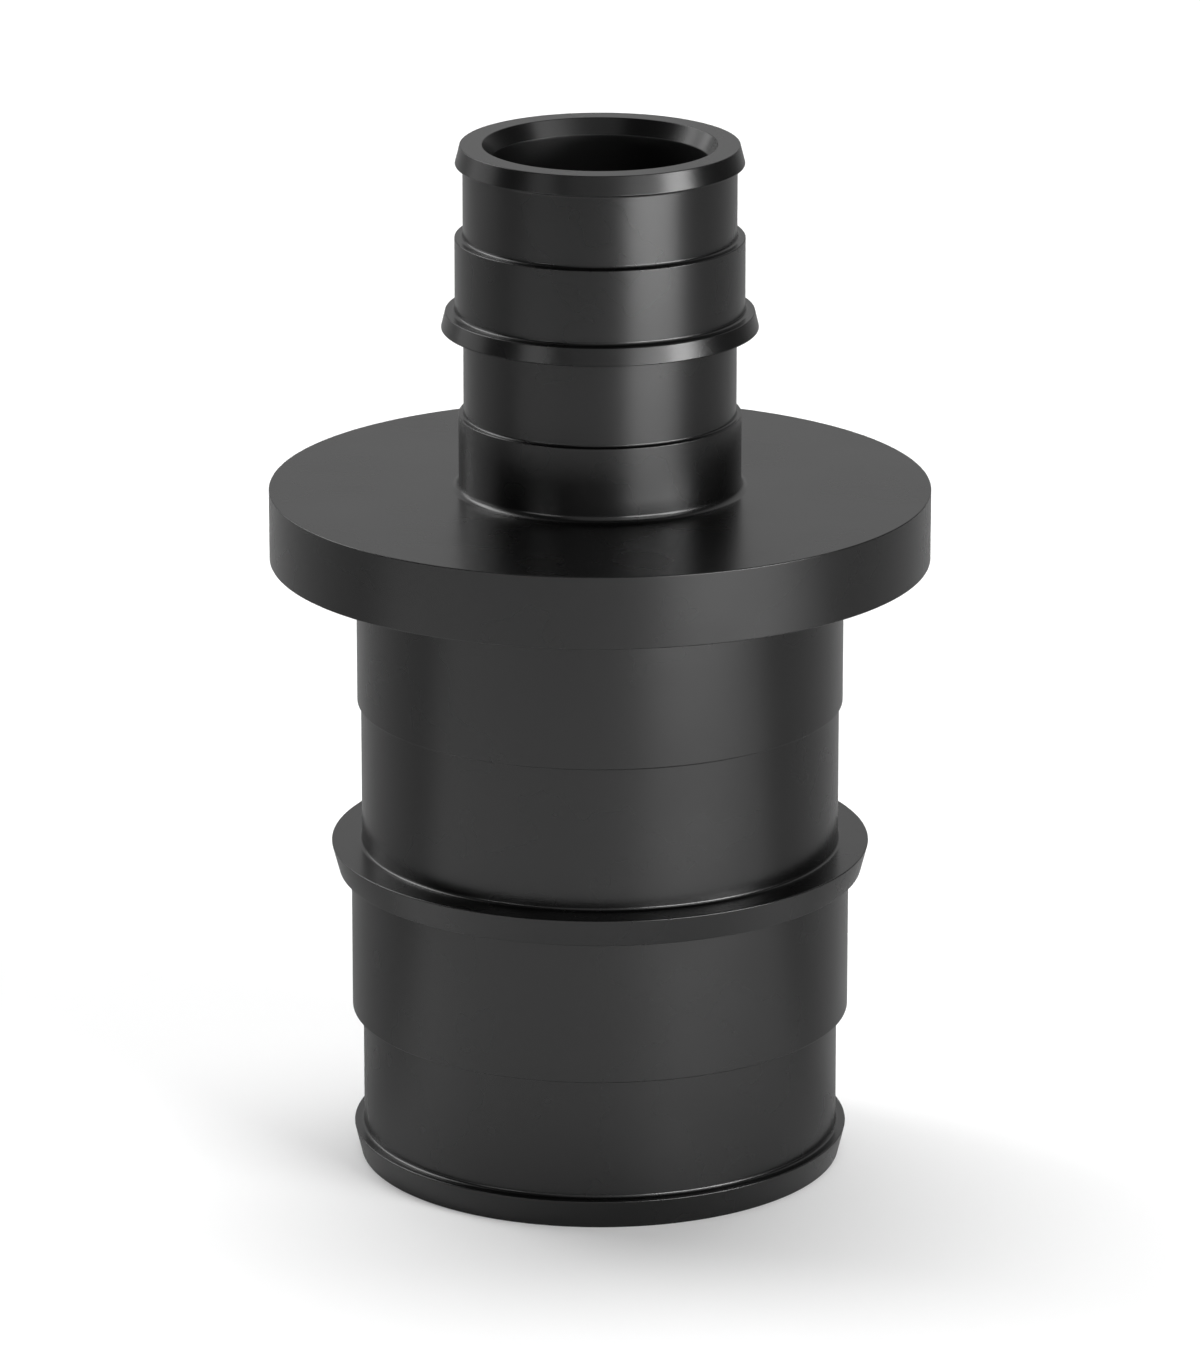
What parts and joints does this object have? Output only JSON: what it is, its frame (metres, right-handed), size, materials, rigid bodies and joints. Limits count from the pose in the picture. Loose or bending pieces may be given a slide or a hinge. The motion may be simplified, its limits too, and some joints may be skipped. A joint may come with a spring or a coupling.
{
  "type": "reducer coupling",
  "caption": "Moulded reducing coupling for expansion pipe: a round stop flange between a large and a small ribbed insert, with a waterway through it.",
  "frame": {"origin": "centre of the foot, the end face of the large insert, on the waterway's axis", "axes": "+Z along the waterway's axis, from the large end up to the small end"},
  "size_m": [0.062, 0.062, 0.0983],
  "materials": {
    "moulded_plastic": "black engineering plastic, satin gloss as moulded"
  },
  "bodies": {
    "root": {"coupling_body": "moulded_plastic"}
  },
  "joints": []
}
